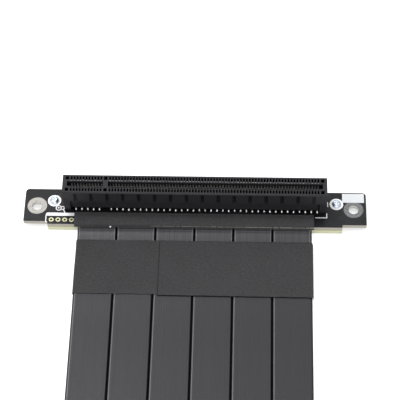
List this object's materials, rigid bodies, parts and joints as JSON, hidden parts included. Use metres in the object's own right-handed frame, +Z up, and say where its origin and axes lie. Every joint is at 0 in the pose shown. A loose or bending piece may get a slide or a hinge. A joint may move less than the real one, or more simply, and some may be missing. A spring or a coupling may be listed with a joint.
{
  "type": "gpu riser cable",
  "caption": "Riser cable for a graphics card: a long card socket on a small board, flat ribbons side by side bound with cloth tape, and an edge-card plug.",
  "frame": {"origin": "on the table, under the middle of the socket end (the cable and its plug not counted)", "axes": "+X along the card socket, +Y away from the cable, +Z up out of the card socket"},
  "size_m": [0.1164, 0.2382, 0.0144],
  "materials": {
    "housing_nylon": "satin black moulded nylon",
    "solder_mask": "satin black solder mask on glass fibre board",
    "bare_board": "bare glass fibre board",
    "screw_zinc": "bluish zinc plate",
    "cloth_tape": "matte black woven cloth tape",
    "ribbon_jacket": "satin dark grey jacket",
    "contact_metal": "plated spring contacts",
    "tin_plate": "solder and tinned pads",
    "marking_ink": "white printed marking ink"
  },
  "bodies": {
    "root": {"slot_housing": "housing_nylon", "socket_board": "solder_mask", "socket_backing_board": "bare_board", "socket_screw_left": "screw_zinc", "socket_screw_right": "screw_zinc", "socket_joint_tape": "cloth_tape", "ribbon_1": "ribbon_jacket", "ribbon_2": "ribbon_jacket", "ribbon_3": "ribbon_jacket", "ribbon_4": "ribbon_jacket", "ribbon_5": "ribbon_jacket", "ribbon_6": "ribbon_jacket", "socket_wrap_tape": "cloth_tape", "plug_wrap_tape": "cloth_tape", "plug_joint_tape": "cloth_tape", "plug_board": "solder_mask", "plug_backing_board": "bare_board", "plug_screw_left": "screw_zinc", "plug_screw_right": "screw_zinc"}
  },
  "joints": []
}
